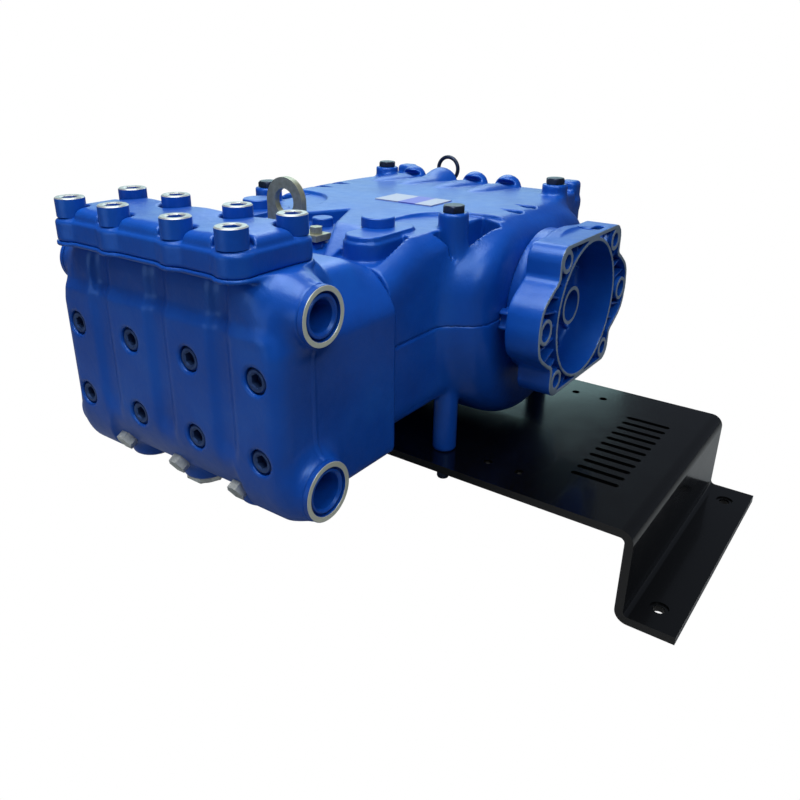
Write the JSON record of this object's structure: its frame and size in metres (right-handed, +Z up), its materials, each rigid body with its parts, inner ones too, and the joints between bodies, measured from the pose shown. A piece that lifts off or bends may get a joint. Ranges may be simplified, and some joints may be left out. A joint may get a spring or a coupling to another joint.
{
  "type": "mud pump",
  "caption": "Blue plunger mud pump with a fluid end block, finned crankcase and open motor bell housing, bolted to a black bent sheet stand.",
  "frame": {"origin": "centre of the stand's four foot bolts, on the ground", "axes": "+Z up; -Y faces the fluid end's front; +X faces the motor side"},
  "size_m": [0.946, 0.6855, 0.456],
  "materials": {
    "blue_enamel": "satin",
    "black_paint": "gloss",
    "bare_steel": "satin",
    "dark_steel": "satin",
    "zinc": "satin",
    "plate_metal": "satin"
  },
  "bodies": {
    "root": {"stand": "black_paint", "crankcase_lower": "blue_enamel", "crankcase_upper": "blue_enamel", "deck_caps": "blue_enamel", "tie_bolts": "dark_steel", "tie_nuts": "dark_steel", "fluid_end_block": "blue_enamel", "valve_cover": "blue_enamel", "cover_screws_front": "bare_steel", "cover_screws_rear": "bare_steel", "front_screws_lower": "dark_steel", "front_screws_upper": "dark_steel", "discharge_rings": "zinc", "discharge_sleeves": "blue_enamel", "suction_rings": "zinc", "suction_sleeves": "blue_enamel", "block_foot_bolts": "bare_steel", "bottom_plug": "bare_steel", "bell_housing": "blue_enamel", "bell_side_bolts": "bare_steel", "bell_floor_bolts": "blue_enamel", "shaft_hub": "dark_steel", "blind_bearing_cover": "blue_enamel", "blind_cover_bolts": "bare_steel", "rear_cover": "blue_enamel", "rear_cover_bolts": "bare_steel", "lifting_ring": "zinc", "lifting_ring_bolts": "zinc", "rear_eyebolt": "dark_steel", "name_plate": "plate_metal"}
  },
  "joints": []
}
